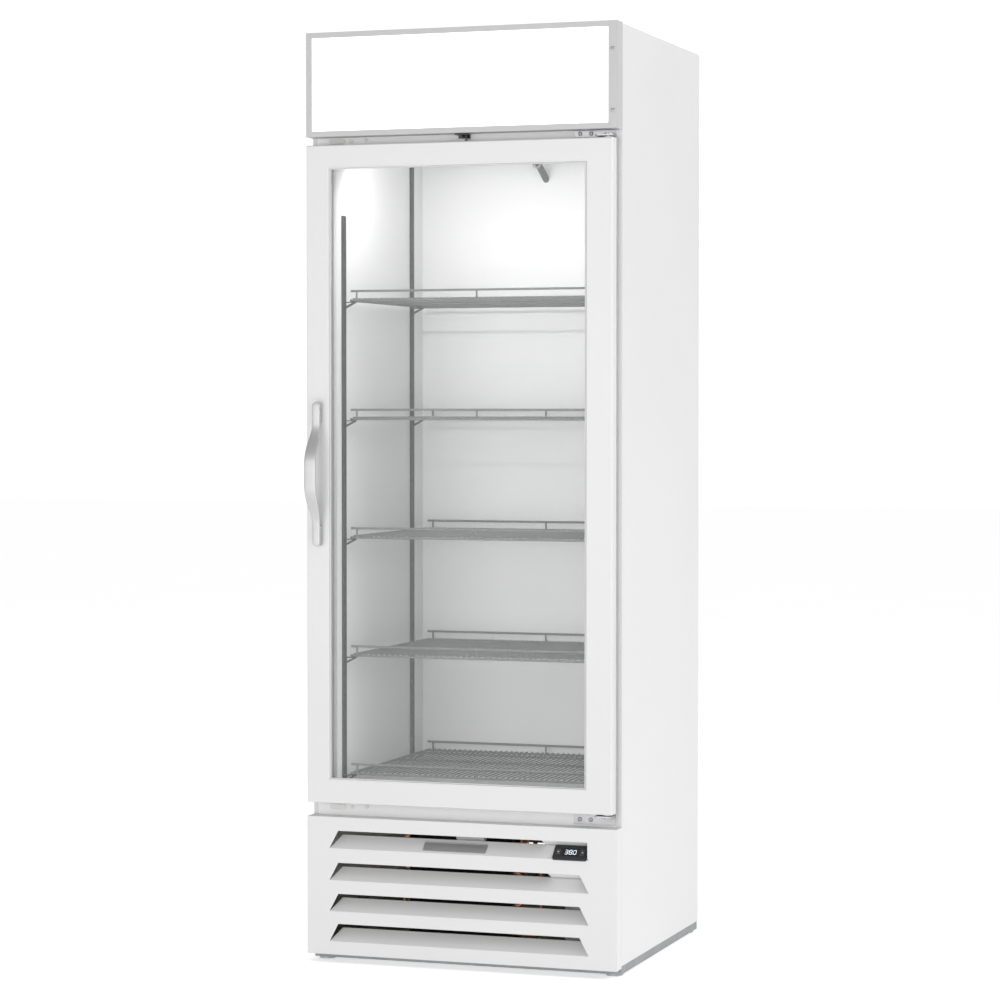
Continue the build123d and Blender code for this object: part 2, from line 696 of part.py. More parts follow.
with BuildPart() as lock_keeper:
    block(-26.7, 4.5, face + 24.8, face + 29, door_top, door_top + 1.2)
    block(-26.7, 4.5, face + 24.8, face + 26, door_top, door_top + 7.5)
save(lock_keeper, "lock_keeper")

# Handle: a bowed ribbon on two feet, narrow at its ends and broad in the middle
foot_reach, ribbon = 20, 5
end, foot, bow = 154, 108, 25          # half heights of the ends, feet and bow
side_profile = [(0, end), (foot_reach, end), (foot_reach, foot), (handle_reach, bow),
                (handle_reach, -bow), (foot_reach, -foot), (foot_reach, -end), (0, -end),
                (0, -foot), (foot_reach - ribbon, -foot), (handle_reach - ribbon, -bow),
                (handle_reach - ribbon, bow), (foot_reach - ribbon, foot), (0, foot)]
with BuildPart() as door_handle:
    with BuildSketch(Plane.YZ.offset(handle_x - 13)):
        with BuildLine():
            Polyline(*[(face - reach, handle_z + up) for reach, up in side_profile], close=True)
        make_face()
    extrude(amount=26)
    bends = door_handle.edges().filter_by(Axis.X).filter_by(
        lambda edge: abs(edge.center().Z - handle_z) < foot + 1 and edge.center().Y < face - 1)
    fillet(bends, 22)
    nose = door_handle.edges().filter_by(Axis.X).group_by(Axis.Z)
    fillet([*nose[0], *nose[-1]], 7)
    with BuildSketch(across(face + 5)):
        with BuildLine():
            half_outline = [(8.5, end), (8.5, foot + 2), (13, foot - 55), (13, 55 - foot),
                            (8.5, -foot - 2), (8.5, -end)]
            outline = half_outline + [(-x, z) for x, z in reversed(half_outline)]
            Polyline(*[(handle_x + x, handle_z + z) for x, z in outline], close=True)
        make_face()
    extrude(amount=80, mode=Mode.INTERSECT)
    for z in handle_bolts:
        bar((handle_x, face - 13, z), (handle_x, face + 1, z), 2.5, Mode.SUBTRACT)
save(door_handle, "door_handle")

with BuildPart() as handle_screws:
    for z in handle_bolts:
        bar((handle_x, face + 2.2, z), (handle_x, face + 6, z), 4.5)
        bar((handle_x, face - 12, z), (handle_x, face + 3, z), 2.45)
save(handle_screws, "handle_screws")
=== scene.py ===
import json
from math import cos, pi, radians, sin

import bmesh
import bpy
from mathutils import Matrix, Vector


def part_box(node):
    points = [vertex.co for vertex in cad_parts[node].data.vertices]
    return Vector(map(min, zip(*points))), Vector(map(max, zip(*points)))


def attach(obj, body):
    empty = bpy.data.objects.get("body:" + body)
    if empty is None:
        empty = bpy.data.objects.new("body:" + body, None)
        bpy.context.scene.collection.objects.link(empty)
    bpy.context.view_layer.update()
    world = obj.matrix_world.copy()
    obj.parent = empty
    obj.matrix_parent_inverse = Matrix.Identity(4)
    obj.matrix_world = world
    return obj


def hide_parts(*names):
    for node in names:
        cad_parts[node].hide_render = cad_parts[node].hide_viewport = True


bl_info = {
    "name": "Glass Door Merchandiser",
    "version": (1, 0, 0),
    "blender": (4, 5, 0),
    "location": "3D View > Sidebar > Merchandiser",
    "description": "Finishes and detailed pieces for an upright cabinet with a glass door",
    "category": "Object",
}

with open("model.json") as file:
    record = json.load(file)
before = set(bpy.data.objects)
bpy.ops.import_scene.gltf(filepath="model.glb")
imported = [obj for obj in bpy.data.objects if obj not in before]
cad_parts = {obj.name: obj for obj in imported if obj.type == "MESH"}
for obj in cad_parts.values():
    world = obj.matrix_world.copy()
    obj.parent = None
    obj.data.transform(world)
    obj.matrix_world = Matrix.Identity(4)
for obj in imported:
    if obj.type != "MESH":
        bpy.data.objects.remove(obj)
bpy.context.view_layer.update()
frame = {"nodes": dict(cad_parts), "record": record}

LOUVRE_LEAN = radians(46)      # how far each louvre flap leans into the cabinet
SHEET_EDGE = 0.0008            # how far the shaders soften the edges of sheet metal
BAR_EDGE = 0.0006              # the same for brushed bar and strip
MOULDED_EDGE = 0.0005          # the same for plastic and rubber
SLOT_OF = {row["node"]: row["material_slot"] for row in frame["record"]["subparts"]}


# ---- Settings that a user would change
class MerchandiserSizes(bpy.types.PropertyGroup):
    handle_end_width: bpy.props.FloatProperty(
        name="Handle end width", description="Width of the handle at its feet",
        default=0.017, unit="LENGTH")
    handle_middle_width: bpy.props.FloatProperty(
        name="Handle middle width", description="Width of the handle where it is gripped",
        default=0.026, unit="LENGTH")
    handle_thickness: bpy.props.FloatProperty(
        name="Handle thickness", description="Thickness of the handle's ribbon",
        default=0.005, unit="LENGTH")
    screw_head: bpy.props.FloatProperty(
        name="Screw head radius", description="Radius of the sheet metal screws' heads",
        default=0.0045, unit="LENGTH")
    guard_wire: bpy.props.FloatProperty(
        name="Fan guard wire", description="Radius of the wire in the fan guard",
        default=0.0011, unit="LENGTH")
    readout: bpy.props.StringProperty(
        name="Readout", description="Digits that the controller shows", default="380")


class MerchandiserColours(bpy.types.PropertyGroup):
    cabinet: bpy.props.FloatVectorProperty(
        name="Cabinet", description="Baked enamel of the cabinet, door and grille",
        subtype="COLOR", default=(0.66, 0.66, 0.66))
    front: bpy.props.FloatVectorProperty(
        name="Front frame", description="Grey enamel of the header and cabinet front",
        subtype="COLOR", default=(0.48, 0.48, 0.48))
    liner: bpy.props.FloatVectorProperty(
        name="Liner", description="Gloss enamel inside the cabinet",
        subtype="COLOR", default=(0.80, 0.80, 0.80))
    shelf: bpy.props.FloatVectorProperty(
        name="Shelves", description="Coating of the wire shelves",
        subtype="COLOR", default=(0.12, 0.12, 0.123))
    readout: bpy.props.FloatVectorProperty(
        name="Readout", description="Light of the controller's digits",
        subtype="COLOR", default=(0.75, 0.88, 1.0))
    lamp_watts: bpy.props.FloatProperty(
        name="Cabinet lamp", description="Power of the lamp behind the lintel",
        default=1.3, unit="POWER")
    fill_watts: bpy.props.FloatProperty(
        name="Door fill", description="Power of the soft light that enters through the door",
        default=2.0, unit="POWER")


def sizes():
    return bpy.context.scene.merchandiser_sizes


def colours():
    return bpy.context.scene.merchandiser_colours


# ---- Shader maths
class Amount:
    """A value in a material's nodes, so that shader maths reads as plain arithmetic."""

    def __init__(self, finish, socket):
        self.finish = finish
        self.socket = socket

    def _maths(self, operation, left, right):
        return self.finish.node("ShaderNodeMath", {"operation": operation}, {0: left, 1: right})

    def __add__(self, other):
        return self._maths("ADD", self, other)

    __radd__ = __add__

    def __sub__(self, other):
        return self._maths("SUBTRACT", self, other)

    def __rsub__(self, other):
        return self._maths("SUBTRACT", other, self)

    def __mul__(self, other):
        return self._maths("MULTIPLY", self, other)

    __rmul__ = __mul__

    def __gt__(self, other):
        return self._maths("GREATER_THAN", self, other)

    def kept(self):
        """The value held between 0 and 1."""
        return self.finish.node("ShaderNodeClamp", {}, {"Value": self})


class Finish:
    """One material, with its Principled shader and the nodes that feed it."""

    def __init__(self, name, **constants):
        self.material = bpy.data.materials.new(name)
        self.material.use_nodes = True
        self.tree = self.material.node_tree
        self.shader = self.tree.nodes["Principled BSDF"]
        for socket, value in constants.items():
            self.shader.inputs[socket.replace("_", " ")].default_value = value

    def node(self, kind, settings, inputs, output=0):
        """Adds a node, gives it its settings and then its inputs, and returns an output."""
        made = self.tree.nodes.new(kind)
        for setting, value in settings.items():
            setattr(made, setting, value)
        for socket, value in inputs.items():
            self._feed(made.inputs[socket], value)
        return Amount(self, made.outputs[output])

    def _feed(self, socket, value):
        if isinstance(value, Amount):
            self.tree.links.new(value.socket, socket)
        else:
            socket.default_value = value

    def feed(self, **inputs):
        for socket, value in inputs.items():
            self._feed(self.shader.inputs[socket.replace("_", " ")], value)
        return self.material

    def place(self, stretch=(1, 1, 1)):
        """A point of the object, stretched along its axes."""
        point = self.node("ShaderNodeTexCoord", {}, {}, "Object")
        return self.node("ShaderNodeMapping", {}, {"Vector": point, "Scale": stretch})

    def noise(self, scale, detail=2, stretch=(1, 1, 1)):
        return self.node("ShaderNodeTexNoise", {},
                         {"Vector": self.place(stretch), "Scale": scale, "Detail": detail})

    def cells(self, scale, output="Distance"):
        return self.node("ShaderNodeTexVoronoi", {},
                         {"Vector": self.place(), "Scale": scale}, output)

    def blend(self, share, first, second):
        """A colour between two colours."""
        return self.node("ShaderNodeMix", {"data_type": "RGBA"},
                         {0: share, 6: opaque(first), 7: opaque(second)}, 2)

    def rounded(self, radius):
        """The surface direction with its edges softened."""
        return self.node("ShaderNodeBevel", {"samples": 4}, {"Radius": radius})

    def edges(self, rounded):
        """Near 1 on the object's edges and 0 on its flats."""
        flat = self.node("ShaderNodeNewGeometry", {}, {}, "Normal")
        level = self.node("ShaderNodeVectorMath", {"operation": "DOT_PRODUCT"},
                          {0: rounded, 1: flat}, "Value")
        return ((1 - level) * 5).kept()

    def bump(self, height, depth, under=None):
        inputs = {"Height": height, "Distance": depth, "Strength": 1.0}
        if under is not None:
            inputs["Normal"] = under
        return self.node("ShaderNodeBump", {}, inputs)


def opaque(colour):
    return colour if isinstance(colour, Amount) else (*tuple(colour)[:3], 1.0)


def shade(colour, by):
    return tuple(min(channel * by, 1.0) for channel in tuple(colour)[:3])


# ---- Finishes
def enamel(name, colour, gloss=0.34, peel=1.6e-5):
    """Baked enamel on sheet: a faint orange peel, cloudy gloss and rubbed edges."""
    paint = Finish(name, Specular_IOR_Level=0.45)
    cloud = paint.noise(2.5, 3)
    soft = paint.rounded(SHEET_EDGE)
    rubbed = paint.edges(soft) * (paint.noise(60, 4) > 0.52)
    tint = paint.blend(cloud, shade(colour, 0.97), shade(colour, 1.02))
    return paint.feed(
        Base_Color=paint.blend(rubbed * 0.35, tint, shade(colour, 0.62)),
        Roughness=gloss + cloud * 0.1 + rubbed * 0.2,
        Normal=paint.bump(paint.noise(420, 2), peel, soft))


def brushed(name, colour, along=(1, 1, 0.02), gloss=0.26):
    """Brushed metal: fine scratches along one axis and brighter worn edges."""
    metal = Finish(name, Metallic=1.0)
    grain = metal.noise(2600, 2, along)
    smudge = metal.noise(14, 3)
    soft = metal.rounded(BAR_EDGE)
    worn = metal.edges(soft)
    tint = metal.blend(grain, shade(colour, 0.88), shade(colour, 1.08))
    return metal.feed(
        Base_Color=metal.blend(worn * 0.5, tint, shade(colour, 1.25)),
        Roughness=gloss + grain * 0.14 + smudge * 0.12,
        Normal=metal.bump(grain, 1.2e-5, soft))


def galvanised(name, colour):
    """Zinc coated sheet: spangle of many sizes, dull in places."""
    zinc = Finish(name, Metallic=0.85)
    spangle = zinc.cells(70, "Color")
    dull = zinc.noise(9, 4)
    soft = zinc.rounded(SHEET_EDGE)
    tint = zinc.blend(spangle, shade(colour, 0.8), shade(colour, 1.15))
    return zinc.feed(
        Base_Color=zinc.blend(dull * 0.4, tint, shade(colour, 0.7)),
        Roughness=0.36 + spangle * 0.12 + dull * 0.18,
        Normal=zinc.bump(zinc.noise(300, 3), 1.5e-5, soft))


def coated_wire(name, colour):
    """Dipped coating on wire: a waxy skin, thin on its high spots."""
    skin = Finish(name, Specular_IOR_Level=0.5)
    lumps = skin.noise(260, 3)
    thin = (skin.noise(35, 4) > 0.64) * 0.35
    return skin.feed(
        Base_Color=skin.blend(lumps * 0.4 + thin, colour, shade(colour, 1.5)),
        Roughness=0.3 + lumps * 0.2,
        Normal=skin.bump(lumps, 6e-5))


def moulded(name, colour, grain=900, gloss=0.45):
    """Moulded plastic or rubber: an even fine grain with handled, glossier spots."""
    plastic = Finish(name, Specular_IOR_Level=0.45)
    texture = plastic.noise(grain, 3)
    handled = plastic.noise(18, 3)
    soft = plastic.rounded(MOULDED_EDGE)
    return plastic.feed(
        Base_Color=plastic.blend(handled * 0.5 + texture * 0.2, colour, shade(colour, 1.35)),
        Roughness=gloss + texture * 0.2 - handled * 0.1,
        Normal=plastic.bump(texture, 3e-5, soft))


def rigid_foam(name, colour):
    """Cut foam: small open cells with darker pores."""
    foam = Finish(name)
    cell = foam.cells(320)
    return foam.feed(
        Base_Color=foam.blend(cell, shade(colour, 0.75), colour),
        Roughness=0.85 + cell * 0.1,
        Normal=foam.bump(cell, 3e-4))


def drawn_copper(name, colour):
    """Copper tube: bright from drawing, browned where it was handled and brazed."""
    copper = Finish(name, Metallic=1.0)
    stain = copper.noise(40, 4)
    return copper.feed(
        Base_Color=copper.blend(stain, colour, shade(colour, 0.45)),
        Roughness=0.22 + stain * 0.3,
        Normal=copper.bump(copper.noise(600, 2), 1e-5))


def lit_sheet(name, colour, strength):
    """A diffusing sheet lit from behind, with a faint fall-off between its lamps."""
    sheet = Finish(name, Emission_Strength=strength, Roughness=0.3)
    pool = sheet.noise(6, 1)
    return sheet.feed(
        Base_Color=sheet.blend(pool, shade(colour, 0.97), colour),
        Emission_Color=sheet.blend(pool, shade(colour, 0.96), colour),
        Roughness=0.28 + pool * 0.08)


def clear_glass(name):
    """Clear toughened glass: seen through face on, reflecting at a glance, lightly wiped."""
    pane = Finish(name, IOR=1.5)
    wiped = pane.noise(7, 4, (1, 1, 0.4))
    glance = pane.node("ShaderNodeLayerWeight", {}, {"Blend": 0.25}, "Fresnel")
    return pane.feed(
        Base_Color=pane.blend(wiped, (0.90, 0.95, 0.93), (0.95, 0.98, 0.97)),
        Roughness=0.02 + wiped * 0.05,
        Alpha=(0.03 + glance * 0.16).kept())


def dark_window(name, colour):
    """Dark tinted acrylic with hairline polish marks."""
    tinted = Finish(name, IOR=1.49)
    marks = tinted.noise(900, 3, (1, 0.05, 0.05))
    return tinted.feed(
        Base_Color=tinted.blend(marks * 0.4, colour, shade(colour, 2.0)),
        Roughness=0.07 + marks * 0.1,
        Normal=tinted.bump(marks, 4e-6))


def finish_for(slot):
    """The material of one slot, made once."""
    if slot in bpy.data.materials:
        return bpy.data.materials[slot]
    own = colours()
    makers = {
        "cabinet_white": lambda: enamel(slot, own.cabinet),
        "front_grey": lambda: enamel(slot, own.front, gloss=0.38),
        "liner_white": lambda: enamel(slot, own.liner, gloss=0.48, peel=1e-5),
        "foam": lambda: rigid_foam(slot, (0.78, 0.68, 0.40)),
        "galvanised": lambda: galvanised(slot, (0.34, 0.35, 0.36)),
        "shelf_grey": lambda: coated_wire(slot, own.shelf),
        "pilaster_grey": lambda: brushed(slot, (0.11, 0.11, 0.112), gloss=0.55),
        "sign_white": lambda: lit_sheet(slot, (1.0, 1.0, 1.0), 1.1),
        "light_white": lambda: lit_sheet(slot, (1.0, 1.0, 0.98), 1.6),
        "brushed_handle": lambda: brushed(slot, (0.58, 0.58, 0.58), gloss=0.46),
        "hinge_steel": lambda: brushed(slot, (0.46, 0.46, 0.47), (0.05, 1, 1), 0.34),
        "screw_steel": lambda: brushed(slot, (0.40, 0.40, 0.41), (1, 1, 1), 0.36),
        "clear_glass": lambda: clear_glass(slot),
        "spacer_metal": lambda: brushed(slot, (0.72, 0.73, 0.74), (1, 0.05, 1), 0.5),
        "seal_grey": lambda: moulded(slot, (0.52, 0.52, 0.52), 500, 0.55),
        "black_plastic": lambda: moulded(slot, (0.018, 0.018, 0.020)),
        "key_plastic": lambda: moulded(slot, (0.05, 0.05, 0.055), 1200, 0.38),
        "window_black": lambda: dark_window(slot, (0.008, 0.008, 0.011)),
        "white_plastic": lambda: moulded(slot, (0.62, 0.62, 0.60), 700, 0.4),
        "bush_plastic": lambda: moulded(slot, (0.70, 0.70, 0.68), 700, 0.35),
        "badge_metal": lambda: brushed(slot, (0.52, 0.52, 0.53), (0.02, 1, 1), 0.46),
        "black_steel": lambda: enamel(slot, (0.022, 0.022, 0.024), gloss=0.36),
        "copper": lambda: drawn_copper(slot, (0.80, 0.38, 0.22)),
        "fin_aluminium": lambda: brushed(slot, (0.56, 0.57, 0.59), (1, 1, 0.05), 0.32),
        "lock_black": lambda: enamel(slot, (0.03, 0.03, 0.03), gloss=0.3),
        "grommet_rubber": lambda: moulded(slot, (0.03, 0.03, 0.03), 400, 0.7),
    }
    return makers[slot]()


# ---- Building pieces
def add_piece(name, shape, body, slot, stands_for=(), material=None, smooth=35):
    """Turns a bmesh into a piece that rides on a body and takes a slot's finish."""
    bmesh.ops.remove_doubles(shape, verts=shape.verts, dist=1e-6)
    bmesh.ops.recalc_face_normals(shape, faces=shape.faces)
    mesh = bpy.data.meshes.new(name)
    shape.to_mesh(mesh)
    shape.free()
    piece = bpy.data.objects.new(name, mesh)
    bpy.context.scene.collection.objects.link(piece)
    mesh.materials.append(material or finish_for(slot))
    mesh.shade_smooth()
    mesh.set_sharp_from_angle(angle=radians(smooth))
    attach(piece, body)
    if stands_for:
        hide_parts(*stands_for)
    return piece


def loop(shape, sides, place):
    """A closed ring of edges, made round at unit radius and then put in place."""
    ring = bmesh.ops.create_circle(shape, segments=sides, radius=1)["verts"]
    bmesh.ops.transform(shape, matrix=place, verts=ring)
    return ring


def edges_of(ring):
    inside = set(ring)
    return list({edge for vert in ring for edge in vert.link_edges
                 if edge.other_vert(vert) in inside})


def bridge(shape, rings):
    """Skins a row of rings and caps both ends."""
    loops = [edges_of(ring) for ring in rings]
    for first, second in zip(loops, loops[1:]):
        bmesh.ops.bridge_loops(shape, edges=first + second)
    for end in (loops[0], loops[-1]):
        bmesh.ops.contextual_create(shape, geom=end)


def squared(ring, centre, power):
    """Pushes a round ring, still at unit size, towards a rounded rectangle."""
    for vert in ring:
        offset = vert.co - centre
        vert.co = centre + Vector([abs(part) ** power * (1 if part > 0 else -1)
                                   for part in offset])


def facing_front(centre):
    """Turns a shape made about Z so that it is about Y and faces the front."""
    return Matrix.Translation(centre) @ Matrix.Rotation(pi / 2, 4, "X")


def turned(shape, profile, place, steps=32):
    """Spins a profile of (radius, height) about Z, then puts it in place."""
    start = [shape.verts.new((radius, 0, height)) for radius, height in profile]
    line = [shape.edges.new(pair) for pair in zip(start, start[1:])]
    before = set(shape.verts) - set(start)
    bmesh.ops.spin(shape, geom=start + line, axis=(0, 0, 1), cent=(0, 0, 0),
                   angle=2 * pi, steps=steps, use_merge=True)
    made = [vert for vert in shape.verts if vert not in before]
    bmesh.ops.remove_doubles(shape, verts=made, dist=1e-7)
    made = [vert for vert in shape.verts if vert not in before]
    bmesh.ops.transform(shape, matrix=place, verts=made)


def framed(shape, low, high, profile):
    """A mitred frame round the box low to high, from a profile of (inset, y) points."""
    middle = (low + high) / 2
    ring = bmesh.ops.create_grid(shape, x_segments=1, y_segments=1, size=0.01)["verts"]
    bmesh.ops.rotate(shape, verts=ring, cent=(0, 0, 0), matrix=Matrix.Rotation(pi / 2, 3, "X"))
    bmesh.ops.translate(shape, verts=ring, vec=middle)
    rim = edges_of(ring)
    bmesh.ops.delete(shape, geom=ring[0].link_faces[:], context="FACES_ONLY")
    for step, (inset, y) in enumerate([*profile, profile[0]]):
        if step:
            grown = bmesh.ops.extrude_edge_only(shape, edges=rim)["geom"]
            ring = [item for item in grown if isinstance(item, bmesh.types.BMVert)]
            rim = edges_of(ring)
        for vert in ring:
            vert.co = Vector((low.x + inset if vert.co.x < middle.x else high.x - inset, y,
                              low.z + inset if vert.co.z < middle.z else high.z - inset))
    bmesh.ops.remove_doubles(shape, verts=shape.verts, dist=1e-6)


def slab(shape, size, place, rounding=0.0, segments=2):
    """A block of a given size with its edges rounded."""
    made = bmesh.ops.create_cube(shape, size=1)["verts"]
    bmesh.ops.transform(shape, matrix=Matrix.Diagonal((*size, 1)), verts=made)
    if rounding:
        rims = list({edge for vert in made for edge in vert.link_edges})
        made = bmesh.ops.bevel(shape, geom=rims, offset=rounding, affect="EDGES",
                               segments=segments, profile=0.5, material=-1)["verts"]
    bmesh.ops.transform(shape, matrix=place, verts=made)


def louvre_lean():
    """Turns a shape made flat so that it lies on a louvre flap, facing out and up."""
    return Matrix((Vector((1, 0, 0)),
                   Vector((0, sin(LOUVRE_LEAN), cos(LOUVRE_LEAN))),
                   Vector((0, -cos(LOUVRE_LEAN), sin(LOUVRE_LEAN))))).transposed().to_4x4()


# ---- Operators, one for each piece or group of like pieces
class MERCHANDISER_OT_finishes(bpy.types.Operator):
    """Gives every fixed part of the cabinet its finish"""
    bl_idname = "merchandiser.finishes"
    bl_label = "Finishes"

    def execute(self, context):
        for node, part in frame["nodes"].items():
            part.data.materials.clear()
            part.data.materials.append(finish_for(SLOT_OF[node]))
        # The face frame's enamel is painted lighter than the cabinet's. This painted light lifts
        # the header's shadow on the gap above the door.
        own_finishes = {"drain_tube": moulded("drain_hose", (0.10, 0.10, 0.10), 500, 0.6),
                        "face_frame": enamel("cabinet_face_painted_light", (0.84, 0.84, 0.84))}
        for node, finish in own_finishes.items():
            frame["nodes"][node].data.materials[0] = finish
        return {"FINISHED"}


class MERCHANDISER_OT_handle(bpy.types.Operator):
    """Makes the bowed handle: a tapering ribbon carried on two feet"""
    bl_idname = "merchandiser.handle"
    bl_label = "Door handle"

    def execute(self, context):
        low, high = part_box("door_handle")
        middle_x, middle_z = (low.x + high.x) / 2, (low.z + high.z) / 2
        half = (high.z - low.z) / 2
        size = sizes()
        thick = size.handle_thickness
        full_reach = high.y - low.y
        foot_reach, foot_from, grip_to = 0.020, 0.108, 0.025
        widening = 0.055           # length over which the ribbon grows to its full width
        nose_length = 0.006        # length of the rounded tip
        foot_margin = 0.002        # how much smaller a foot is than the ribbon over it
        steps = 64

        def ease(share):
            share = min(max(share, 0), 1)
            return share * share * (3 - 2 * share)

        def centre(up):
            rise = ease((foot_from - abs(up)) / (foot_from - grip_to))
            reach = foot_reach + (full_reach - foot_reach) * rise - thick / 2
            return Vector((middle_x, high.y - reach, middle_z + up))

        def width(up):
            share = ease((foot_from - abs(up)) / widening)
            return size.handle_end_width + (
                size.handle_middle_width - size.handle_end_width) * share

        shape = bmesh.new()
        rings = []
        for step in range(steps + 1):
            up = -half + 2 * half * step / steps
            tip = min((half - abs(up)) / nose_length, 1)
            nose = max(1 - (1 - tip) ** 2, 0.08) ** 0.5
            slope = (centre(up + 0.001) - centre(up - 0.001)).normalized()
            outward = slope.cross(Vector((1, 0, 0))).normalized()
            turn = Matrix((Vector((1, 0, 0)), outward, slope)).transposed().to_4x4()
            ring = bmesh.ops.create_circle(shape, segments=28, radius=1)["verts"]
            squared(ring, Vector((0, 0, 0)), 0.5)
            bmesh.ops.transform(
                shape, verts=ring,
                matrix=Matrix.Translation(centre(up)) @ turn
                @ Matrix.Diagonal((width(up) / 2 * nose, thick / 2 * nose, 1, 1)))
            rings.append(ring)
        bridge(shape, rings)
        foot_deep = foot_reach - thick / 2
        foot_tall = half - foot_from
        for side in (-1, 1):
            centre_z = middle_z + side * (foot_from + foot_tall / 2)
            slab(shape, (size.handle_end_width - foot_margin, foot_deep,
                         foot_tall - 2 * foot_margin),
                 Matrix.Translation((middle_x, high.y - foot_deep / 2, centre_z)), 0.003, 3)
        add_piece("door_handle_bow", shape, "door", "brushed_handle", ["door_handle"])
        return {"FINISHED"}


class MERCHANDISER_OT_gasket(bpy.types.Operator):
    """Makes the door's magnetic seal with its folded bellows, and the bead round the glass"""
    bl_idname = "merchandiser.gasket"
    bl_label = "Seal and glazing bead"

    def execute(self, context):
        low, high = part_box("door_gasket")
        deep = high.y - low.y
        wide = 0.016
        folds = [(0.0, 0.0), (0.0, 0.35), (0.0022, 0.5), (0.0, 0.65), (0.0, 0.92), (0.0015, 1.0),
                 (wide - 0.0015, 1.0), (wide, 0.92), (wide, 0.65), (wide - 0.0022, 0.5),
                 (wide, 0.35), (wide, 0.0)]
        shape = bmesh.new()
        framed(shape, low, high, [(inset, low.y + deep * share) for inset, share in folds])
        add_piece("door_seal_bellows", shape, "door", "seal_grey", ["door_gasket"])

        glass_low, glass_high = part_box("outer_glass")
        hidden = 0.011             # glass covered by the frame's lip
        shape = bmesh.new()
        front = glass_low.y
        framed(shape, glass_low + Vector((hidden, 0, hidden)),
               glass_high - Vector((hidden, 0, hidden)),
               [(0.0, front - 0.0003), (0.0, front - 0.0022), (0.0012, front - 0.0030),
                (0.0030, front - 0.0022), (0.0034, front - 0.0003)])
        add_piece("glazing_bead", shape, "door", "seal_grey")
        return {"FINISHED"}


def screw_head(shape, centre, radius, tall):
    """A pan head with a cross recess, facing the front."""
    grid = bmesh.ops.create_grid(shape, x_segments=3, y_segments=3, size=radius * 0.5)["verts"]
    squares = list({face for vert in grid for face in vert.link_faces})
    arm = radius * 0.25
    cross = [face for face in squares
             if min(abs(face.calc_center_median().x), abs(face.calc_center_median().y)) < arm]
    bmesh.ops.transform(shape, matrix=Matrix.Translation((0, 0, tall)), verts=grid)
    rim = [edge for edge in {e for vert in grid for e in vert.link_edges}
           if len(edge.link_faces) == 1]
    rings = [loop(shape, 12, Matrix.Translation((0, 0, z))
                  @ Matrix.Rotation(pi / 4, 4, "Z") @ Matrix.Diagonal((r, r, 1, 1)))
             for r, z in ((radius * 0.86, tall * 0.86), (radius, tall * 0.45), (radius, 0))]
    bmesh.ops.bridge_loops(shape, edges=rim + edges_of(rings[0]))
    for first, second in zip(rings, rings[1:]):
        bmesh.ops.bridge_loops(shape, edges=edges_of(first) + edges_of(second))
    bmesh.ops.contextual_create(shape, geom=edges_of(rings[-1]))
    pushed = bmesh.ops.extrude_face_region(shape, geom=cross)["geom"]
    floor = [item for item in pushed if isinstance(item, bmesh.types.BMVert)]
    bmesh.ops.delete(shape, geom=cross, context="FACES_ONLY")
    bmesh.ops.translate(shape, vec=(0, 0, -tall * 0.55), verts=floor)
    made = {vert for ring in rings for vert in ring} | set(grid) | set(floor)
    made = [vert for vert in made if vert.is_valid]
    bmesh.ops.transform(shape, matrix=facing_front(centre), verts=made)


class MERCHANDISER_OT_screws(bpy.types.Operator):
    """Makes the cross-head screws of the end trim and the hinge brackets"""
    bl_idname = "merchandiser.screws"
    bl_label = "Screws"

    def execute(self, context):
        radius = sizes().screw_head
        trim_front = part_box("header_end_trim")[0].y
        trim_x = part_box("header_end_trim")[1].x - 0.010
        trim_screws_up = (0.0365, 0.163)
        bracket_screws_across = (0.012, 0.036)
        trim_head_tall = 0.0018
        bracket_head_tall = 0.0028
        bracket_thick = 0.003
        header_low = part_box("header_box")[0].z
        top_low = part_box("top_hinge_bracket")[0]
        bottom_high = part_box("bottom_hinge_bracket")[1]
        shape = bmesh.new()
        for up in trim_screws_up:
            centre = Vector((trim_x, trim_front, header_low + up))
            screw_head(shape, centre, radius, trim_head_tall)
        bracket_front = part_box("face_frame")[0].y - bracket_thick
        for across in bracket_screws_across:
            for up in (top_low.z + 0.0075, bottom_high.z - 0.012):
                centre = Vector((top_low.x + across, bracket_front, up))
                screw_head(shape, centre, radius, bracket_head_tall)
        add_piece("cross_head_screws", shape, "root", "screw_steel", ["frame_screws"])
        return {"FINISHED"}


LIT_BARS = {"0": "abcdef", "1": "bc", "2": "abged", "3": "abgcd", "4": "fgbc", "5": "afgcd",
            "6": "afgcde", "7": "abc", "8": "abcdefg", "9": "abfgcd"}


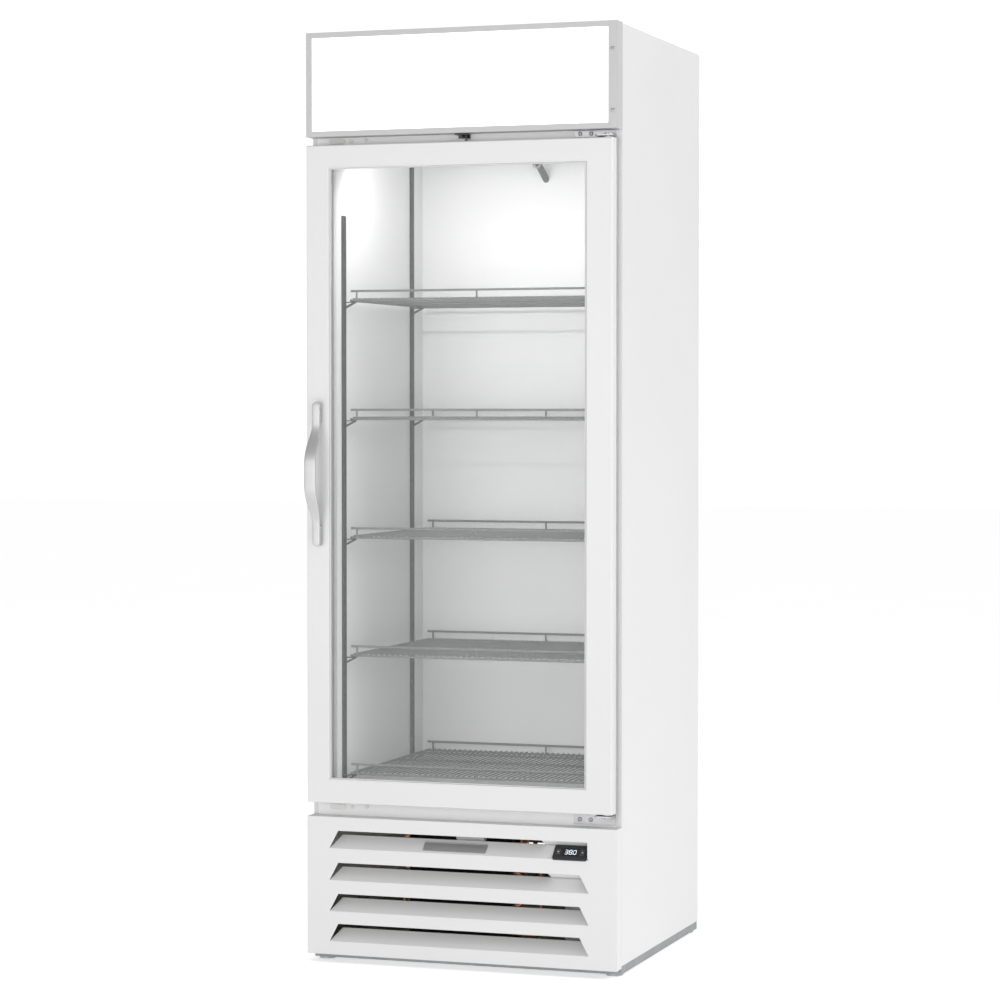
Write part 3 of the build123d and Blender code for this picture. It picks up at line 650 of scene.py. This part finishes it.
class MERCHANDISER_OT_readout(bpy.types.Operator):
    """Makes the controller's lit digits, and the raised arrows on its two keys"""
    bl_idname = "merchandiser.readout"
    bl_label = "Controller readout"

    def execute(self, context):
        low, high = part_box("controller_window")
        lean = louvre_lean()
        window = Matrix.Translation((low + high) / 2) @ lean
        wide, tall, bar, front = 0.0060, 0.0105, 0.0010, 0.00155
        bar_thick = 0.0002
        digit_gap = 0.0032
        places = {"a": (0, tall / 2, 0), "g": (0, 0, 0), "d": (0, -tall / 2, 0),
                  "b": (wide / 2, tall / 4, 1), "c": (wide / 2, -tall / 4, 1),
                  "f": (-wide / 2, tall / 4, 1), "e": (-wide / 2, -tall / 4, 1)}
        shape = bmesh.new()
        digits = sizes().readout
        pitch = wide + digit_gap
        for number, digit in enumerate(digits):
            start = (number - (len(digits) - 1) / 2) * pitch
            for name in LIT_BARS[digit]:
                x, y, upright = places[name]
                across, up = (bar, tall / 2 - bar) if upright else (wide - bar, bar)
                slab(shape, (across, up, bar_thick),
                     window @ Matrix.Translation((start + x, y, front)))
        dot_x = (len(digits) / 2 - 1) * pitch
        slab(shape, (bar, bar, bar_thick),
             window @ Matrix.Translation((dot_x, -tall / 2, front)))
        glow = lit_sheet("readout_light", colours().readout, 1.0)
        add_piece("readout_digits", shape, "root", "window_black", material=glow)

        for key, up in (("key_left", -1), ("key_right", 1)):
            key_low, key_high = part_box(key)
            shape = bmesh.new()
            arrow = bmesh.ops.create_cone(shape, cap_ends=True, segments=3, radius1=0.0024,
                                          radius2=0.0020, depth=0.0004)["verts"]
            turn = Matrix.Rotation(0 if up > 0 else pi, 4, "Z")
            face = Matrix.Translation((key_low + key_high) / 2) @ lean
            bmesh.ops.transform(shape, verts=arrow,
                                matrix=face @ Matrix.Translation((0, 0, 0.0016)) @ turn)
            add_piece(f"{key}_arrow", shape, key, "white_plastic")
        return {"FINISHED"}


class MERCHANDISER_OT_badge(bpy.types.Operator):
    """Makes the blank badge plate with a raised rim round a sunk field"""
    bl_idname = "merchandiser.badge"
    bl_label = "Badge plate"

    def execute(self, context):
        low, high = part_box("badge_plate")
        lean = louvre_lean()
        wide, tall, thick = high.x - low.x, 0.024, 0.0016
        corner_radius = 0.003
        rim_width = 0.0011
        field_sunk = 0.0004
        shape = bmesh.new()
        made = bmesh.ops.create_cube(shape, size=1)["verts"]
        bmesh.ops.transform(shape, verts=made, matrix=Matrix.Diagonal((wide, tall, thick, 1)))
        uprights = [edge for edge in shape.edges
                    if abs((edge.verts[0].co - edge.verts[1].co).z) > thick / 2]
        bmesh.ops.bevel(shape, geom=uprights, offset=corner_radius, affect="EDGES", segments=5,
                        profile=0.5, material=-1)
        front = [face for face in shape.faces if face.normal.z > 0.9]
        bmesh.ops.inset_region(shape, faces=front, thickness=rim_width)
        bmesh.ops.inset_region(shape, faces=front, thickness=field_sunk, depth=-field_sunk)
        bmesh.ops.transform(shape, verts=shape.verts[:],
                            matrix=Matrix.Translation((low + high) / 2) @ lean)
        add_piece("badge_blank", shape, "root", "badge_metal", ["badge_plate"])
        return {"FINISHED"}


class MERCHANDISER_OT_fans(bpy.types.Operator):
    """Makes the two fans with cambered blades, and the wire guard over the upper one"""
    bl_idname = "merchandiser.fans"
    bl_label = "Fans and guard"

    def execute(self, context):
        blades = 5
        blade_thick = 0.0014
        guard_radii = (0.026, 0.040, 0.054, 0.068)
        for node, slot, hub_share in (("condenser_fan", "fin_aluminium", 0.26),
                                      ("evaporator_fan", "black_plastic", 0.28)):
            low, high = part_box(node)
            centre = (low + high) / 2
            tip = min(high.x - low.x, high.z - low.z) / 2
            hub = tip * hub_share
            reach = (high.y - low.y) / 2
            blade_root, blade_end = hub * 0.92, tip * 0.99
            shape = bmesh.new()
            for blade in range(blades):
                grid = bmesh.ops.create_grid(shape, x_segments=10, y_segments=8, size=0.5)["verts"]
                for vert in grid:
                    out, across = vert.co.x + 0.5, vert.co.y
                    radius = blade_root + (blade_end - blade_root) * out
                    sweep = 0.32 * out
                    angle = across * (1.0 - 0.18 * out) + sweep
                    pitch = across * reach * 1.5
                    camber = (0.25 - across * across) * reach * 0.5
                    vert.co = Vector((radius * cos(angle), radius * sin(angle), pitch + camber))
                faces = list({face for vert in grid for face in vert.link_faces})
                bmesh.ops.solidify(shape, geom=faces, thickness=blade_thick)
                spun = [vert for vert in shape.verts if not vert.tag]
                bmesh.ops.rotate(shape, verts=spun, cent=(0, 0, 0),
                                 matrix=Matrix.Rotation(blade * 2 * pi / blades, 3, "Z"))
                for vert in spun:
                    vert.tag = True
            turned(shape, [(0.0042, -0.011), (hub * 0.9, -0.011), (hub, -0.009), (hub, 0.007),
                           (hub * 0.85, 0.010), (0.0042, 0.010), (0.0042, -0.011)], Matrix())
            bmesh.ops.transform(shape, verts=shape.verts[:], matrix=facing_front(centre))
            add_piece(f"{node}_wheel", shape, node, slot, [node])

        low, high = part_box("evaporator_fan")
        ring_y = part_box("evaporator_cover")[0].y - 0.0012
        centre = Vector(((low.x + high.x) / 2, ring_y, (low.z + high.z) / 2))
        wire = sizes().guard_wire
        shape = bmesh.new()
        for radius in guard_radii:
            around = [(radius + wire * cos(turn * pi / 4), wire * sin(turn * pi / 4))
                      for turn in range(9)]
            turned(shape, around, facing_front(centre), 48)
        add_piece("fan_guard_rings", shape, "root", "hinge_steel")
        return {"FINISHED"}


class MERCHANDISER_OT_machine(bpy.types.Operator):
    """Adds the compressor's weld seam, a wrapped sleeve on a pipe, and the drain tube's clip"""
    bl_idname = "merchandiser.machine"
    bl_label = "Machinery details"

    def execute(self, context):
        low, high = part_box("compressor")
        shell_x = 0.205
        shell_half_wide = 0.098
        shell_half_deep = 0.076
        seam = Vector((shell_x, (low.y + high.y) / 2, low.z + (high.z - low.z) * 0.52))
        shape = bmesh.new()
        turned(shape, [(0.985, -0.003), (1.014, -0.002), (1.020, 0.0), (1.014, 0.002),
                       (0.985, 0.003)],
               Matrix.Translation(seam)
               @ Matrix.Diagonal((shell_half_wide, shell_half_deep, 1, 1)), 64)
        rims = [edge for edge in shape.edges if edge.is_boundary]
        bmesh.ops.bridge_loops(shape, edges=rims)
        add_piece("compressor_weld_seam", shape, "root", "black_steel")

        coil_low, coil_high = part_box("condenser_coil")
        shape = bmesh.new()
        sleeve_radius = 0.009
        ridge = 0.0006
        wrap_pitch = 0.0035
        wrap = [(sleeve_radius + ridge * (step % 2), wrap_pitch * step) for step in range(19)]
        spot = Matrix.Translation((-0.024, coil_low.y - 0.014, coil_high.z + 0.006))
        turned(shape, [(0.0, 0.0), *wrap, (0.0, wrap[-1][1])],
               spot @ Matrix.Rotation(pi / 2, 4, "Y"), 20)
        add_piece("wrapped_pipe_sleeve", shape, "root", "white_plastic")

        low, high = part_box("drain_tube")
        along = Vector((0, high.y - low.y, low.z - high.z)).normalized()
        clip_share = 0.35          # how far down the tube the clip sits
        spot = Vector((0, low.y + (high.y - low.y) * clip_share,
                       high.z - (high.z - low.z) * clip_share))
        place = Matrix.Translation(spot) @ along.to_track_quat("Z", "Y").to_matrix().to_4x4()
        shape = bmesh.new()
        turned(shape, [(0.0076, -0.003), (0.0086, -0.003), (0.0089, 0.0), (0.0086, 0.003),
                       (0.0076, 0.003), (0.0076, -0.003)], place, 32)
        add_piece("drain_tube_clip", shape, "root", "hinge_steel")
        return {"FINISHED"}


class MERCHANDISER_OT_stage(bpy.types.Operator):
    """Sets the pale floor, the soft studio light and the camera"""
    bl_idname = "merchandiser.stage"
    bl_label = "Stage"

    def execute(self, context):
        scene = context.scene
        scene.view_settings.view_transform = "Standard"
        shape = bmesh.new()
        bmesh.ops.create_grid(shape, x_segments=1, y_segments=1, size=30)
        mesh = bpy.data.meshes.new("studio_floor")
        shape.to_mesh(mesh)
        shape.free()
        floor = bpy.data.objects.new("studio_floor", mesh)
        scene.collection.objects.link(floor)
        paper = Finish("studio_paper", Roughness=0.9, Emission_Strength=0.55)
        pale = paper.blend(paper.noise(1.5), (0.93, 0.93, 0.93), (0.95, 0.95, 0.95))
        mesh.materials.append(paper.feed(Base_Color=pale, Emission_Color=pale))

        world = bpy.data.worlds.new("studio_air")
        world.use_nodes = True
        air = world.node_tree.nodes["Background"]
        air.inputs["Color"].default_value = (1, 1, 1, 1)
        seen = world.node_tree.nodes.new("ShaderNodeLightPath")
        level = world.node_tree.nodes.new("ShaderNodeMapRange")
        level.inputs["To Min"].default_value = 0.50    # light on the cabinet
        level.inputs["To Max"].default_value = 1.05    # the backdrop itself
        world.node_tree.links.new(seen.outputs["Is Camera Ray"], level.inputs["Value"])
        world.node_tree.links.new(level.outputs["Result"], air.inputs["Strength"])
        scene.world = world

        def softbox(name, spot, aim, size, watts, tall=None):
            data = bpy.data.lights.new(name, "AREA")
            data.energy = watts
            data.size = size
            if tall:
                data.shape = "RECTANGLE"
                data.size_y = tall
            lamp = bpy.data.objects.new(name, data)
            lamp.location = spot
            lamp.rotation_euler = (Vector(aim) - Vector(spot)).to_track_quat("-Z", "Y").to_euler()
            lamp.visible_camera = False
            lamp.visible_glossy = name.endswith("softbox")
            scene.collection.objects.link(lamp)

        softbox("front_softbox", (-0.6, -5.0, 1.4), (0, 0, 1.0), 2.4, 74)
        softbox("side_softbox", (4.0, -0.6, 2.4), (0.3, 0, 1.1), 2.4, 82)
        bar_low, bar_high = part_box("light_bar")
        lamp_spot = (0, bar_high.y + 0.012, bar_low.z - 0.004)
        softbox("cabinet_lamp", lamp_spot, (0, 0.20, 1.25), bar_high.x - bar_low.x,
                colours().lamp_watts, 0.02)
        mouth_low, mouth_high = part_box("inner_glass")
        behind_glass = mouth_high.y + 0.03
        mouth_z = (mouth_low.z + mouth_high.z) / 2
        softbox("door_fill", (0, behind_glass, mouth_z), (0, behind_glass + 1, mouth_z),
                mouth_high.x - mouth_low.x, colours().fill_watts, mouth_high.z - mouth_low.z)

        data = bpy.data.cameras.new("studio_camera")
        data.lens = 110.24
        data.sensor_width = 36
        camera = bpy.data.objects.new("studio_camera", data)
        camera.location = (2.1591, -6.3586, 1.1874)
        camera.rotation_euler = (radians(88.2866), 0, radians(18.834))
        scene.collection.objects.link(camera)
        scene.camera = camera
        return {"FINISHED"}


PIECES = (MERCHANDISER_OT_finishes, MERCHANDISER_OT_handle, MERCHANDISER_OT_gasket,
          MERCHANDISER_OT_screws, MERCHANDISER_OT_readout, MERCHANDISER_OT_badge,
          MERCHANDISER_OT_fans, MERCHANDISER_OT_machine, MERCHANDISER_OT_stage)


class MERCHANDISER_PT_panel(bpy.types.Panel):
    """Sizes, colours and pieces of the merchandiser"""
    bl_label = "Merchandiser"
    bl_space_type = "VIEW_3D"
    bl_region_type = "UI"
    bl_category = "Merchandiser"

    def draw(self, context):
        for group in (sizes(), colours()):
            column = self.layout.column()
            for setting in group.__annotations__:
                column.prop(group, setting)
        for piece in PIECES:
            self.layout.operator(piece.bl_idname)


CLASSES = (MerchandiserSizes, MerchandiserColours, *PIECES, MERCHANDISER_PT_panel)


def register():
    for made in CLASSES:
        bpy.utils.register_class(made)
    bpy.types.Scene.merchandiser_sizes = bpy.props.PointerProperty(type=MerchandiserSizes)
    bpy.types.Scene.merchandiser_colours = bpy.props.PointerProperty(type=MerchandiserColours)


def unregister():
    del bpy.types.Scene.merchandiser_colours
    del bpy.types.Scene.merchandiser_sizes
    for made in reversed(CLASSES):
        bpy.utils.unregister_class(made)


def main():
    for material in list(bpy.data.materials):
        bpy.data.materials.remove(material)
    register()
    for piece in PIECES:
        group, action = piece.bl_idname.split(".")
        getattr(getattr(bpy.ops, group), action)()


if __name__ == "__main__":
    main()
